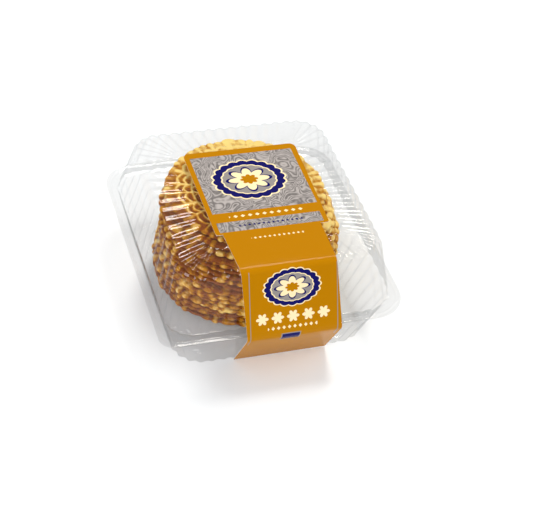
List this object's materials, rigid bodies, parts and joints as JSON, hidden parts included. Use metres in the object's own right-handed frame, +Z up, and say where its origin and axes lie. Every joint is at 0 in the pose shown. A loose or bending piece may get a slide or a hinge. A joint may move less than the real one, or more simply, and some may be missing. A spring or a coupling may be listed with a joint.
{
  "type": "clear clamshell pack of pizzelle wafer cookies",
  "caption": "Clear fluted clamshell food pack, shut by a printed paper band, that holds and shows a stack of round patterned wafer cookies.",
  "frame": {"origin": "centre of the footprint, on the surface that the tray stands on", "axes": "+Z up, -Y towards the front edge where the paper band folds over, +Y towards the hinge"},
  "size_m": [0.156, 0.1723, 0.076],
  "materials": {
    "clear_pet": "clear glossy formed PET sheet",
    "printed_paper": "glossy printed label paper",
    "baked_wafer": "dry baked wafer, golden with browned ridges"
  },
  "bodies": {
    "root": {"tray": "clear_pet", "lid": "clear_pet", "hinge": "clear_pet", "paper_band": "printed_paper", "pizzelle_01": "baked_wafer", "pizzelle_02": "baked_wafer", "pizzelle_03": "baked_wafer", "pizzelle_04": "baked_wafer", "pizzelle_05": "baked_wafer", "pizzelle_06": "baked_wafer", "pizzelle_07": "baked_wafer", "pizzelle_08": "baked_wafer", "pizzelle_09": "baked_wafer", "pizzelle_10": "baked_wafer", "pizzelle_11": "baked_wafer", "pizzelle_12": "baked_wafer", "pizzelle_13": "baked_wafer", "pizzelle_14": "baked_wafer", "pizzelle_15": "baked_wafer", "pizzelle_16": "baked_wafer", "pizzelle_17": "baked_wafer", "pizzelle_18": "baked_wafer", "pizzelle_19": "baked_wafer", "pizzelle_20": "baked_wafer"}
  },
  "joints": []
}
